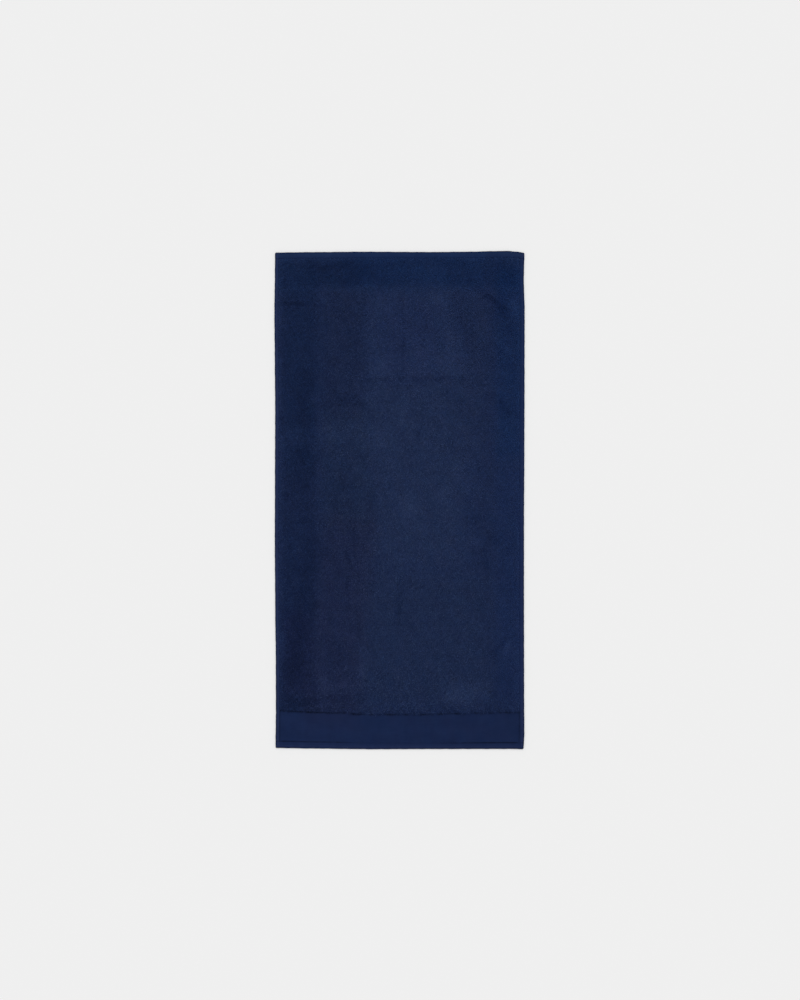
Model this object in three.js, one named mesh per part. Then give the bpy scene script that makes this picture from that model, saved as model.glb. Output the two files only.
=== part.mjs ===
// A cotton hand towel, 500 x 1000 mm, lying flat and face up.
//
// One woven cloth: a terry field with loops on both faces, one flat-woven
// border band near one end, and four hems turned under and stitched. The hems
// are the cloth's own edges, so the whole towel is one closed solid.
//
// Millimetres. +X runs across the cloth, +Y along it towards the plain end,
// +Z up out of the face. The origin is under the middle of the towel, on the
// surface that it lies on.

import * as THREE from 'three';
import { mergeVertices } from 'three/addons/utils/BufferGeometryUtils.js';

// ---- driving dimensions (mm) ----------------------------------------------

const WIDTH = 500;            // cut and hemmed size across
const LENGTH = 1000;          // cut and hemmed size along

const FIELD_THICK = 3.4;      // terry, both faces of loops and the ground between
const BAND_THICK = 1.3;       // flat-woven border
const HEM_THICK = 2.5;        // three layers of flat weave
const STITCH_THICK = 1.7;     // the hem where its stitch line pulls it down

const LEFT_HEM = 8.0;         // edge to stitch line
const RIGHT_HEM = 10.0;
const TOP_HEM = 13.0;
const STITCH_WIDE = 1.6;      // half width of the trough that the stitches pull
const PILE_SHOULDER = 3.4;    // how far the loops take to reach full height
const EDGE_ROUND = 1.1;       // how far the folded edge is rounded off in plan

const FIELD_COLUMNS = 24;     // cross steps over the field, about 20 mm each
const FIELD_ROWS = 43;        // long steps over the field, about 21 mm each

// ---- the towel's uneven outline ---------------------------------------------
// `out` is how far the edge stands outside the nominal rectangle at that place.

const LEFT_EDGE = [
  { y: 500, out: 0.1 }, { y: 458, out: 0.5 }, { y: 378, out: 1.5 },
  { y: 281, out: 0.7 }, { y: 185, out: -0.1 }, { y: 16, out: 0.4 },
  { y: -80, out: 0.7 }, { y: -225, out: -0.2 }, { y: -321, out: -1.3 },
  { y: -418, out: -1.5 }, { y: -500, out: -0.8 },
];
const RIGHT_EDGE = [
  { y: 500, out: 0.9 }, { y: 446, out: -0.2 }, { y: 378, out: 1.5 },
  { y: 257, out: 1.3 }, { y: 88, out: 0.9 }, { y: -32, out: 0.2 },
  { y: -177, out: 0.1 }, { y: -394, out: 0.4 }, { y: -466, out: 0.9 },
  { y: -488, out: 0.1 }, { y: -500, out: -0.8 },
];
const TOP_EDGE = [
  { x: -250, out: -2.7 }, { x: -172, out: -1.8 }, { x: -75, out: -1.0 },
  { x: 69, out: -1.6 }, { x: 134, out: -1.0 }, { x: 198, out: 0.3 },
  { x: 219, out: 0.6 }, { x: 234, out: -0.9 }, { x: 250, out: -3.2 },
];
const BOTTOM_EDGE = [
  { x: -250, out: -1.9 }, { x: -172, out: -0.8 }, { x: -92, out: 0.2 },
  { x: -59, out: 0.6 }, { x: 69, out: 0.2 }, { x: 218, out: 0.0 },
  { x: 250, out: 0.3 },
];

// Where the loops stop and the border begins, and where the end hem is sewn.
const PILE_END = [
  { x: -250, y: -424 }, { x: -150, y: -427 }, { x: -50, y: -430.5 },
  { x: 30, y: -430.5 }, { x: 120, y: -428.5 }, { x: 250, y: -426 },
];
const HEM_LINE = [
  { x: -250, y: -486.2 }, { x: -140, y: -486.8 }, { x: -60, y: -487.9 },
  { x: 60, y: -488.1 }, { x: 250, y: -487.4 },
];

// Soft swells where the cloth stands off the surface. `turn` is the way each
// runs, in degrees from +X; `reach` and `half` are its half length and half
// width; `rise` is its height.
const SWELLS = [
  { name: 'inside the corner crease', x: 172, y: 386, turn: -38, reach: 76, half: 27, rise: 1.9 },
  { name: 'outside the corner crease', x: 205, y: 424, turn: -40, reach: 60, half: 26, rise: 1.7 },
  { name: 'left fold mark', x: -164, y: 262, turn: 91, reach: 170, half: 26, rise: 1.1 },
  { name: 'second fold mark', x: -66, y: 334, turn: 88, reach: 118, half: 24, rise: 0.9 },
  { name: 'right fold mark', x: 122, y: 300, turn: -77, reach: 130, half: 25, rise: 1.0 },
  { name: 'upper cross fold', x: -22, y: 437, turn: 1, reach: 150, half: 23, rise: 0.8 },
  { name: 'low left swell', x: -156, y: -226, turn: 93, reach: 165, half: 30, rise: 1.2 },
  { name: 'middle swell', x: 46, y: 52, turn: 64, reach: 95, half: 34, rise: 0.9 },
  { name: 'right middle swell', x: 158, y: -66, turn: 32, reach: 68, half: 26, rise: 1.0 },
  { name: 'low right swell', x: 194, y: -292, turn: 54, reach: 62, half: 25, rise: 1.0 },
  { name: 'above the border', x: -140, y: -376, turn: 6, reach: 88, half: 24, rise: 0.9 },
];

// ---- helpers ------------------------------------------------------------------

const ease = (t) => { const c = Math.min(1, Math.max(0, t)); return c * c * (3 - 2 * c); };

// Reads a table at a place, easing from row to row. Rows run either way.
function along(table, key, value, at) {
  const rows = table[0][key] < table[table.length - 1][key] ? table : [...table].reverse();
  if (at <= rows[0][key]) return rows[0][value];
  for (let i = 1; i < rows.length; i += 1) {
    const [a, b] = [rows[i - 1], rows[i]];
    if (at <= b[key]) return a[value] + (b[value] - a[value]) * ease((at - a[key]) / (b[key] - a[key]));
  }
  return rows[rows.length - 1][value];
}

// The ends of this many even steps from a to b, both included.
const spaced = (a, b, steps) => Array.from({ length: steps + 1 }, (_, i) => a + ((b - a) * i) / steps);

// ---- where each point of the flat cloth lies -----------------------------------

// (s, t) is a place on the cloth's nominal rectangle; the outline's unevenness
// fades out towards the middle.
function inPlan(s, t) {
  const sideways = (Math.abs(s) / (WIDTH / 2)) ** 1.5;
  const lengthways = (Math.abs(t) / (LENGTH / 2)) ** 3;
  return {
    x: s + sideways * (s < 0 ? -along(LEFT_EDGE, 'y', 'out', t) : along(RIGHT_EDGE, 'y', 'out', t)),
    y: t + lengthways * (t < 0 ? -along(BOTTOM_EDGE, 'x', 'out', s) : along(TOP_EDGE, 'x', 'out', s)),
  };
}

function liftAt(x, y) {
  let lift = 0;
  for (const w of SWELLS) {
    const a = (w.turn * Math.PI) / 180;
    const length = ((x - w.x) * Math.cos(a) + (y - w.y) * Math.sin(a)) / w.reach;
    const across = (-(x - w.x) * Math.sin(a) + (y - w.y) * Math.cos(a)) / w.half;
    if (Math.abs(length) < 1 && Math.abs(across) < 1) {
      lift += w.rise * (1 - length ** 2) ** 2 * (1 - across ** 2) ** 2;
    }
  }
  return lift;
}

// Across a hem: full at the fold, drawn down at the stitches, then what is inside.
function hemProfile(inset, hemWide, inside) {
  if (inset < hemWide) {
    return STITCH_THICK + (HEM_THICK - STITCH_THICK) * ease((hemWide - inset) / STITCH_WIDE);
  }
  return STITCH_THICK + (inside - STITCH_THICK) * ease((inset - hemWide) / PILE_SHOULDER);
}

function thicknessAt(s, t) {
  const fromLeft = s + WIDTH / 2;
  const fromRight = WIDTH / 2 - s;
  const fromTop = LENGTH / 2 - t;
  const pileEnd = along(PILE_END, 'x', 'y', s);
  const hemLine = along(HEM_LINE, 'x', 'y', s);
  const woven = BAND_THICK + (FIELD_THICK - BAND_THICK) * ease((t - pileEnd) / PILE_SHOULDER);
  const sides = Math.min(
    hemProfile(fromLeft, LEFT_HEM, woven),
    hemProfile(fromRight, RIGHT_HEM, woven),
    woven < HEM_THICK ? HEM_THICK : FIELD_THICK,
  );
  const inside = fromLeft < LEFT_HEM || fromRight < RIGHT_HEM ? sides : Math.min(sides, woven);
  if (fromTop < TOP_HEM + PILE_SHOULDER) return Math.min(hemProfile(fromTop, TOP_HEM, FIELD_THICK), Math.max(inside, HEM_THICK));
  if (t < hemLine) return Math.max(inside, STITCH_THICK + (HEM_THICK - STITCH_THICK) * ease((hemLine - t) / STITCH_WIDE));
  return inside;
}

// ---- the cloth ------------------------------------------------------------------

const columns = [
  -WIDTH / 2, -WIDTH / 2 + LEFT_HEM - STITCH_WIDE, -WIDTH / 2 + LEFT_HEM,
  ...spaced(-WIDTH / 2 + LEFT_HEM + PILE_SHOULDER, WIDTH / 2 - RIGHT_HEM - PILE_SHOULDER, FIELD_COLUMNS),
  WIDTH / 2 - RIGHT_HEM, WIDTH / 2 - RIGHT_HEM + STITCH_WIDE, WIDTH / 2,
];
// Rows over the border follow the two slightly uneven lines across it.
const rowAt = (s) => {
  const pileEnd = along(PILE_END, 'x', 'y', s);
  const hemLine = along(HEM_LINE, 'x', 'y', s);
  return [
    -LENGTH / 2, hemLine - STITCH_WIDE, hemLine, hemLine + PILE_SHOULDER,
    (hemLine + pileEnd) / 2, pileEnd,
    ...spaced(pileEnd + PILE_SHOULDER, LENGTH / 2 - TOP_HEM - PILE_SHOULDER, FIELD_ROWS),
    LENGTH / 2 - TOP_HEM, LENGTH / 2 - TOP_HEM + STITCH_WIDE, LENGTH / 2,
  ];
};
const acrossCount = columns.length - 1;
const longCount = rowAt(0).length - 1;

// A box divided at those stations, with one ring of points half way up its
// sides, is laid into the towel's shape point by point.
function layCloth() {
  const blank = new THREE.BoxGeometry(1, 1, 1, acrossCount, longCount, 2);
  blank.deleteAttribute('normal');
  blank.deleteAttribute('uv');
  const cloth = mergeVertices(blank, 1e-5);
  const at = cloth.getAttribute('position');
  for (let i = 0; i < at.count; i += 1) {
    const c = Math.round((at.getX(i) + 0.5) * acrossCount);
    const r = Math.round((at.getY(i) + 0.5) * longCount);
    const level = Math.round(at.getZ(i) * 2); // -1 under, 0 the edge's middle, 1 the face
    const s = columns[c];
    const t = rowAt(s)[r];
    const { x, y } = inPlan(s, t);
    const onSide = c === 0 || c === acrossCount;
    const onEnd = r === 0 || r === longCount;
    // The fold's nose is at the middle ring; face and underside draw in from it.
    const drawIn = level === 0 ? (onSide && onEnd ? EDGE_ROUND * 0.7 : 0) : EDGE_ROUND * (level > 0 ? 1 : 0.7);
    const thick = thicknessAt(s, t);
    const lift = liftAt(x, y);
    at.setXYZ(
      i,
      x - (onSide ? Math.sign(s) * drawIn : 0),
      y - (onEnd ? Math.sign(t) * drawIn : 0),
      lift + (level > 0 ? thick : level === 0 ? thick * 0.5 : 0),
    );
  }
  cloth.computeVertexNormals();
  return cloth;
}

const cotton = new THREE.MeshStandardMaterial({ color: 0x1b2643, roughness: 0.96, metalness: 0 });

const towel = new THREE.Mesh(layCloth(), cotton);
towel.name = 'towel';

const model = new THREE.Group();
model.add(towel);

export default model;
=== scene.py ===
"""A navy cotton terry hand towel, 50 x 100 cm, lying flat and face up.

The cloth is one closed sheet with its border band and its four hems. The loops of
the pile stand on both of its faces, and lockstitches run along the hems.
Lengths are in millimetres until a mesh is made, and in metres from there on.
"""

import math

import bpy
import numpy as np
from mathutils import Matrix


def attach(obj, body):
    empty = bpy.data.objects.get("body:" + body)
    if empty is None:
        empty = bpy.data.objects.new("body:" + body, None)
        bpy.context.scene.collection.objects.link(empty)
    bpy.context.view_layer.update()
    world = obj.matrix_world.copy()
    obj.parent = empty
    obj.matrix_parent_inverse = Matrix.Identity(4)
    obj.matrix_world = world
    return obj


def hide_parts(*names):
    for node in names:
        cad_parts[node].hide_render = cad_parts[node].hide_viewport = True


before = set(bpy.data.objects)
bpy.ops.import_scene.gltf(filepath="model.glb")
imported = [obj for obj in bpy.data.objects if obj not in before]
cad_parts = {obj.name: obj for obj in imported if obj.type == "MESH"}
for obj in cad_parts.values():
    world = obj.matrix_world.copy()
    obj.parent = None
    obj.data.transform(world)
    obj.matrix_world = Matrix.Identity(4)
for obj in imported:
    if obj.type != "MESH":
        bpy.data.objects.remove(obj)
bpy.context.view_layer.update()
rng = np.random.default_rng(50100)

# ---- the towel's sizes, mm, as in the solid --------------------------------------

WIDTH, LENGTH = 500.0, 1000.0
FIELD_THICK = 3.4
BAND_THICK = 1.3
HEM_THICK = 2.5
STITCH_THICK = 1.7
LEFT_HEM, RIGHT_HEM, TOP_HEM = 8.0, 10.0, 13.0
STITCH_WIDE = 1.6
PILE_SHOULDER = 3.4
EDGE_ROUND = 1.1

GROUND_LOW, GROUND_HIGH = 1.05, 1.9  # the woven ground inside the pile

LEFT_EDGE = [
    dict(y=500, out=0.1), dict(y=458, out=0.5), dict(y=378, out=1.5),
    dict(y=281, out=0.7), dict(y=185, out=-0.1), dict(y=16, out=0.4),
    dict(y=-80, out=0.7), dict(y=-225, out=-0.2), dict(y=-321, out=-1.3),
    dict(y=-418, out=-1.5), dict(y=-500, out=-0.8),
]
RIGHT_EDGE = [
    dict(y=500, out=0.9), dict(y=446, out=-0.2), dict(y=378, out=1.5),
    dict(y=257, out=1.3), dict(y=88, out=0.9), dict(y=-32, out=0.2),
    dict(y=-177, out=0.1), dict(y=-394, out=0.4), dict(y=-466, out=0.9),
    dict(y=-488, out=0.1), dict(y=-500, out=-0.8),
]
TOP_EDGE = [
    dict(x=-250, out=-2.7), dict(x=-172, out=-1.8), dict(x=-75, out=-1.0),
    dict(x=69, out=-1.6), dict(x=134, out=-1.0), dict(x=198, out=0.3),
    dict(x=219, out=0.6), dict(x=234, out=-0.9), dict(x=250, out=-3.2),
]
BOTTOM_EDGE = [
    dict(x=-250, out=-1.9), dict(x=-172, out=-0.8), dict(x=-92, out=0.2),
    dict(x=-59, out=0.6), dict(x=69, out=0.2), dict(x=218, out=0.0),
    dict(x=250, out=0.3),
]
PILE_END = [
    dict(x=-250, y=-424), dict(x=-150, y=-427), dict(x=-50, y=-430.5),
    dict(x=30, y=-430.5), dict(x=120, y=-428.5), dict(x=250, y=-426),
]
HEM_LINE = [
    dict(x=-250, y=-486.2), dict(x=-140, y=-486.8), dict(x=-60, y=-487.9),
    dict(x=60, y=-488.1), dict(x=250, y=-487.4),
]

# How deep the line above the bottom hem is in shade: deep near the sides, faint in the middle.
HEM_SHADE = [
    dict(x=-250, deep=0.90), dict(x=-195, deep=0.66), dict(x=-120, deep=0.52),
    dict(x=-80, deep=0.16), dict(x=70, deep=0.14), dict(x=95, deep=0.32),
    dict(x=135, deep=0.55), dict(x=175, deep=0.86), dict(x=250, deep=0.82),
]

# Soft swells where the cloth stands off the surface, as in the solid.
SWELLS = [
    dict(name="inside the corner crease", x=172, y=386, turn=-38, reach=76, half=27, rise=1.9),
    dict(name="outside the corner crease", x=205, y=424, turn=-40, reach=60, half=26, rise=1.7),
    dict(name="left fold mark", x=-164, y=262, turn=91, reach=170, half=26, rise=1.1),
    dict(name="second fold mark", x=-66, y=334, turn=88, reach=118, half=24, rise=0.9),
    dict(name="right fold mark", x=122, y=300, turn=-77, reach=130, half=25, rise=1.0),
    dict(name="upper cross fold", x=-22, y=437, turn=1, reach=150, half=23, rise=0.8),
    dict(name="low left swell", x=-156, y=-226, turn=93, reach=165, half=30, rise=1.2),
    dict(name="middle swell", x=46, y=52, turn=64, reach=95, half=34, rise=0.9),
    dict(name="right middle swell", x=158, y=-66, turn=32, reach=68, half=26, rise=1.0),
    dict(name="low right swell", x=194, y=-292, turn=54, reach=62, half=25, rise=1.0),
    dict(name="above the border", x=-140, y=-376, turn=6, reach=88, half=24, rise=0.9),
]

# Narrow fold marks: a soft trough between two low ridges.
CREASES = [
    dict(name="corner crease", x=197, y=391, turn=-39, reach=52, half=9, rise=1.5),
    dict(name="left cross crease", x=-199, y=394, turn=1, reach=44, half=6, rise=0.6),
    dict(name="centre upright mark", x=7, y=337, turn=90, reach=96, half=6, rise=0.45),
    dict(name="upper cross mark", x=35, y=243, turn=1, reach=108, half=7, rise=0.5),
    dict(name="left column mark", x=-164, y=200, turn=90, reach=230, half=9, rise=0.5),
    dict(name="low upright mark", x=-104, y=-162, turn=91, reach=58, half=6, rise=0.5),
    dict(name="low middle mark", x=0, y=-209, turn=88, reach=50, half=7, rise=0.4),
    dict(name="low right mark", x=198, y=-296, turn=52, reach=26, half=8, rise=0.6),
]

# Painted light and shade for how the nap lies: marks where loops leaning to the light
# are painted lighter (more than 0), or darker where they lean away, with painted shade along the creases. soft is how
# far a mark's edge fades.
PAINTED_SHADE_MARKS = [
    dict(name="left column", x=-204, y=2, turn=90, reach=440, half=45, soft=18, shade=-0.155),
    dict(name="left column, upper", x=-190, y=200, turn=90, reach=74, half=24, soft=18, shade=-0.11),
    dict(name="left column, middle", x=-193, y=68, turn=90, reach=62, half=22, soft=18, shade=-0.10),
    dict(name="left column, rest", x=-213, y=129, turn=0, reach=40, half=26, soft=18, shade=0.13),
    dict(name="left column, low", x=-193, y=-232, turn=79, reach=180, half=36, soft=28, shade=-0.10),
    dict(name="left column, lowest", x=-208, y=-302, turn=80, reach=72, half=24, soft=20, shade=-0.09),
    dict(name="top end", x=0, y=461, turn=0, reach=262, half=40, soft=20, shade=-0.115),
    dict(name="top end, left", x=-124, y=457, turn=0, reach=104, half=36, soft=28, shade=-0.07),
    dict(name="top end, left streak", x=-142, y=468, turn=2, reach=46, half=9, soft=8, shade=-0.12),
    dict(name="top end, blot", x=-90, y=449, turn=4, reach=30, half=16, soft=12, shade=-0.06),
    dict(name="top left corner", x=-232, y=440, turn=90, reach=32, half=14, soft=12, shade=-0.10),
    dict(name="top end, lighter", x=55, y=452, turn=0, reach=56, half=28, soft=20, shade=0.08),
    dict(name="left cross crease", x=-195, y=393, turn=-4, reach=48, half=4.8, soft=4.4, shade=-0.19),
    dict(name="left spot", x=-150, y=403, turn=90, reach=18, half=14, soft=10, shade=0.13),
    dict(name="second column", x=-117, y=292, turn=90, reach=134, half=54, soft=22, shade=-0.065),
    dict(name="second column, right", x=-92, y=290, turn=91, reach=126, half=25, soft=18, shade=-0.015),
    dict(name="second column, end", x=-116, y=192, turn=4, reach=58, half=22, soft=18, shade=-0.045),
    dict(name="below second column", x=-122, y=134, turn=6, reach=56, half=24, soft=12, shade=0.11),
    dict(name="upper middle", x=22, y=336, turn=92, reach=102, half=97, soft=20, shade=0.115),
    dict(name="upper middle, right", x=112, y=290, turn=96, reach=56, half=24, soft=12, shade=0.11),
    dict(name="upper middle, left end", x=-36, y=262, turn=90, reach=34, half=24, soft=14, shade=0.07),
    dict(name="upper middle, top left", x=-32, y=388, turn=90, reach=30, half=22, soft=14, shade=0.08),
    dict(name="upper middle, top right", x=78, y=404, turn=0, reach=34, half=18, soft=12, shade=0.10),
    dict(name="upper middle, core", x=42, y=305, turn=20, reach=30, half=22, soft=16, shade=0.06),
    dict(name="centre upright mark", x=7, y=337, turn=90, reach=92, half=5.5, soft=5, shade=-0.10),
    dict(name="upper cross mark", x=36, y=243, turn=1, reach=112, half=8, soft=7, shade=-0.11),
    dict(name="middle", x=34, y=60, turn=96, reach=280, half=122, soft=60, shade=0.135),
    dict(name="middle, upper left", x=-45, y=120, turn=8, reach=52, half=26, soft=20, shade=0.09),
    dict(name="middle, upright", x=8, y=176, turn=90, reach=44, half=14, soft=10, shade=0.07),
    dict(name="middle, bright", x=24, y=-12, turn=90, reach=44, half=34, soft=28, shade=0.19),
    dict(name="middle, bright right", x=117, y=66, turn=0, reach=20, half=18, soft=14, shade=0.22),
    dict(name="middle, bright low", x=90, y=19, turn=30, reach=28, half=18, soft=14, shade=0.12),
    dict(name="middle, far right", x=154, y=-82, turn=0, reach=20, half=14, soft=11, shade=0.15),
    dict(name="middle, dim line", x=44, y=150, turn=72, reach=46, half=7, soft=6, shade=-0.09),
    dict(name="right column", x=194, y=277, turn=90, reach=150, half=52, soft=20, shade=-0.015),
    dict(name="right column, inner", x=139, y=336, turn=98, reach=54, half=15, soft=12, shade=-0.085),
    dict(name="corner crease", x=196, y=391, turn=-40, reach=46, half=14, soft=13, shade=-0.13),
    dict(name="corner crease, tail", x=176, y=409, turn=-37, reach=64, half=11, soft=9, shade=-0.09),
    dict(name="beside the corner crease", x=229, y=382, turn=88, reach=26, half=13, soft=9, shade=0.17),
    dict(name="right light line", x=201, y=314, turn=-36, reach=46, half=6, soft=5, shade=0.09),
    dict(name="right dark spot", x=211, y=187, turn=-50, reach=24, half=9, soft=7, shade=-0.18),
    dict(name="right side, low", x=212, y=-120, turn=90, reach=300, half=34, soft=24, shade=0.03),
    dict(name="right middle spot", x=151, y=-42, turn=20, reach=20, half=11, soft=9, shade=-0.13),
    dict(name="right middle swell", x=190, y=-80, turn=10, reach=28, half=18, soft=14, shade=-0.10),
    dict(name="right upright mark", x=174, y=-128, turn=92, reach=46, half=7, soft=6, shade=-0.11),
    dict(name="left upright mark", x=-60, y=-26, turn=91, reach=60, half=14, soft=13, shade=-0.09),
    dict(name="low upright mark", x=-104, y=-162, turn=91, reach=62, half=6, soft=5.5, shade=-0.13),
    dict(name="low upright mark, top", x=-89, y=-76, turn=88, reach=42, half=6, soft=5, shade=-0.10),
    dict(name="low middle mark", x=0, y=-209, turn=88, reach=54, half=9, soft=8, shade=-0.11),
    dict(name="low left mark", x=-83, y=-244, turn=92, reach=44, half=9, soft=8, shade=-0.09),
    dict(name="low left, dim", x=-128, y=-314, turn=0, reach=52, half=30, soft=22, shade=-0.06),
    dict(name="low left, light", x=-130, y=-373, turn=2, reach=44, half=16, soft=14, shade=0.13),
    dict(name="low left, light end", x=-70, y=-336, turn=90, reach=36, half=13, soft=10, shade=0.11),
    dict(name="low left, dark", x=-158, y=-404, turn=2, reach=100, half=14, soft=10, shade=-0.13),
    dict(name="low right, light", x=128, y=-388, turn=2, reach=58, half=27, soft=18, shade=0.17),
    dict(name="low right mark", x=198, y=-296, turn=52, reach=23, half=10, soft=8, shade=-0.20),
    dict(name="low right, beside", x=217, y=-298, turn=72, reach=25, half=9, soft=7, shade=0.12),
    dict(name="low right corner", x=207, y=-378, turn=90, reach=50, half=32, soft=20, shade=-0.08),
    dict(name="beside the top hem", x=0, y=487, turn=0, reach=262, half=17, soft=14, shade=0.09),
    dict(name="beside the left hem", x=-246, y=0, turn=90, reach=520, half=23, soft=20, shade=0.09),
    dict(name="beside the right hem", x=244, y=0, turn=90, reach=520, half=17, soft=14, shade=0.06),
    dict(name="lower middle", x=40, y=-300, turn=4, reach=190, half=150, soft=60, shade=0.04),
    dict(name="low left, beside the column", x=-118, y=-160, turn=90, reach=250, half=52, soft=34, shade=-0.055),
    dict(name="top end, middle", x=60, y=446, turn=0, reach=150, half=50, soft=30, shade=0.065),
    dict(name="right side, upper", x=190, y=120, turn=90, reach=190, half=56, soft=36, shade=0.035),
    dict(name="right, inner", x=142, y=200, turn=88, reach=230, half=38, soft=28, shade=0.055),
]

# How the dye looks from place to place. cool: more than 0 where it has less red.
# grey: more than 0 where it has less blue.
TINTS = [
    dict(name="top end", x=0, y=470, turn=0, reach=280, half=62, soft=34, cool=1.10, grey=-0.10),
    dict(name="top end, middle", x=40, y=470, turn=0, reach=170, half=60, soft=40, cool=0.65, grey=-1.10),
    dict(name="top right", x=200, y=430, turn=60, reach=90, half=60, soft=40, cool=0.05, grey=-0.50),
    dict(name="left column, upper", x=-200, y=250, turn=90, reach=210, half=44, soft=26, cool=0.60, grey=0.10),
    dict(name="left column, low", x=-206, y=-170, turn=88, reach=150, half=40, soft=26, cool=0.25, grey=-0.20),
    dict(name="left column, lowest", x=-206, y=-310, turn=90, reach=110, half=42, soft=30, cool=-1.05, grey=-1.10),
    dict(name="second column", x=-110, y=290, turn=90, reach=150, half=48, soft=24, cool=-0.40, grey=0.50),
    dict(name="below second column", x=-108, y=60, turn=90, reach=150, half=64, soft=36, cool=-0.05, grey=1.50),
    dict(name="low left", x=-118, y=-240, turn=84, reach=250, half=76, soft=42, cool=-1.20, grey=-0.15),
    dict(name="low left corner", x=-224, y=-400, turn=90, reach=60, half=26, soft=20, cool=0.10, grey=0.0),
    dict(name="upper middle", x=20, y=310, turn=90, reach=120, half=76, soft=44, cool=-0.15, grey=-0.70),
    dict(name="middle", x=30, y=60, turn=88, reach=240, half=130, soft=60, cool=-0.10, grey=0.90),
    dict(name="low middle", x=50, y=-280, turn=0, reach=170, half=150, soft=50, cool=-0.10, grey=1.05),
    dict(name="right, inner", x=150, y=250, turn=90, reach=180, half=36, soft=26, cool=-0.20, grey=0.50),
    dict(name="right column, upper", x=222, y=275, turn=90, reach=215, half=42, soft=28, cool=1.50, grey=-1.20),
    dict(name="right side", x=222, y=-165, turn=90, reach=262, half=42, soft=30, cool=0.62, grey=-1.20),
    dict(name="border, right", x=170, y=-458, turn=0, reach=110, half=36, soft=30, cool=-0.20, grey=0.0),
    dict(name="border, left", x=-80, y=-458, turn=0, reach=90, half=36, soft=30, cool=0.20, grey=0.0),
]

# How uneven the loops' shades are: more in places (over 0), or less.
GRAIN = [
    dict(name="middle", x=0, y=60, turn=90, reach=330, half=130, soft=60, more=0.35),
    dict(name="second column", x=-130, y=140, turn=90, reach=260, half=50, soft=30, more=0.35),
    dict(name="low", x=-10, y=-380, turn=0, reach=220, half=70, soft=34, more=0.55),
    dict(name="low right", x=120, y=-240, turn=90, reach=160, half=50, soft=34, more=0.35),
    dict(name="top end", x=0, y=470, turn=0, reach=300, half=62, soft=40, more=-0.75),
    dict(name="upper right", x=160, y=300, turn=90, reach=200, half=70, soft=50, more=-0.50),
    dict(name="right side", x=226, y=0, turn=90, reach=540, half=50, soft=28, more=-1.00),
    dict(name="left edge, upper", x=-226, y=300, turn=90, reach=150, half=40, soft=26, more=-0.60),
]


def ease(t):
    c = np.clip(t, 0, 1)
    return c * c * (3 - 2 * c)


def along(table, key, value, at):
    """Reads a table at these places, easing from row to row. Rows run either way."""
    rows = sorted(table, key=lambda r: r[key])
    k = np.array([r[key] for r in rows], float)
    v = np.array([r[value] for r in rows], float)
    at = np.asarray(at, float)
    i = np.clip(np.searchsorted(k, at, side="left") - 1, 0, len(k) - 2)
    return v[i] + (v[i + 1] - v[i]) * ease((at - k[i]) / (k[i + 1] - k[i]))


def pile_end(s):
    return along(PILE_END, "x", "y", s)


def hem_line(s):
    return along(HEM_LINE, "x", "y", s)


def in_plan(s, t):
    """Where a place on the nominal rectangle lies: the uneven outline fades inwards."""
    side = (np.abs(s) / (WIDTH / 2)) ** 1.5
    end = (np.abs(t) / (LENGTH / 2)) ** 3
    x = s + side * np.where(s < 0, -along(LEFT_EDGE, "y", "out", t), along(RIGHT_EDGE, "y", "out", t))
    y = t + end * np.where(t < 0, -along(BOTTOM_EDGE, "x", "out", s), along(TOP_EDGE, "x", "out", s))
    return x, y


def in_mark(w, x, y):
    """Places in a mark's own frame: along it and across it, mm."""
    a = math.radians(w["turn"])
    return (
        (x - w["x"]) * math.cos(a) + (y - w["y"]) * math.sin(a),
        -(x - w["x"]) * math.sin(a) + (y - w["y"]) * math.cos(a),
    )


def swells_at(x, y):
    total = np.zeros(np.broadcast(x, y).shape)
    for w in SWELLS:
        length, across = in_mark(w, x, y)
        total += w["rise"] * np.clip(1 - (length / w["reach"]) ** 2, 0, 1) ** 2 * np.clip(1 - (across / w["half"]) ** 2, 0, 1) ** 2
    return total


def creases_at(x, y):
    total = np.zeros(np.broadcast(x, y).shape)
    for w in CREASES:
        length, across = in_mark(w, x, y)
        c = (across / w["half"]) ** 2
        total += w["rise"] * np.clip(1 - (length / w["reach"]) ** 2, 0, 1) ** 1.5 * c * np.exp(1 - c)
    return total


def lift_at(x, y):
    """How far the cloth stands off the surface."""
    inner = ease((236 - np.abs(x)) / 30) * ease((486 - np.abs(y)) / 40)
    return swells_at(x, y) + creases_at(x, y) + 0.16 * inner * np.maximum(waves(x, y, 74, 3) + 0.35, 0)


def waves(x, y, size, seed, octaves=3):
    """Smooth noise from -1 to 1 over the cloth: sums of sines at random angles."""
    r = np.random.default_rng(seed)
    total, weight = 0.0, 0.0
    for o in range(octaves):
        for _ in range(5):
            a, p = r.uniform(0, 2 * math.pi, 2)
            k = 2 * math.pi / (size / 1.9**o * r.uniform(0.75, 1.35))
            total = total + 0.6**o * np.sin(k * (x * math.cos(a) + y * math.sin(a)) + p)
        weight += 5 * 0.6**o
    return total / (0.45 * weight)


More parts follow.
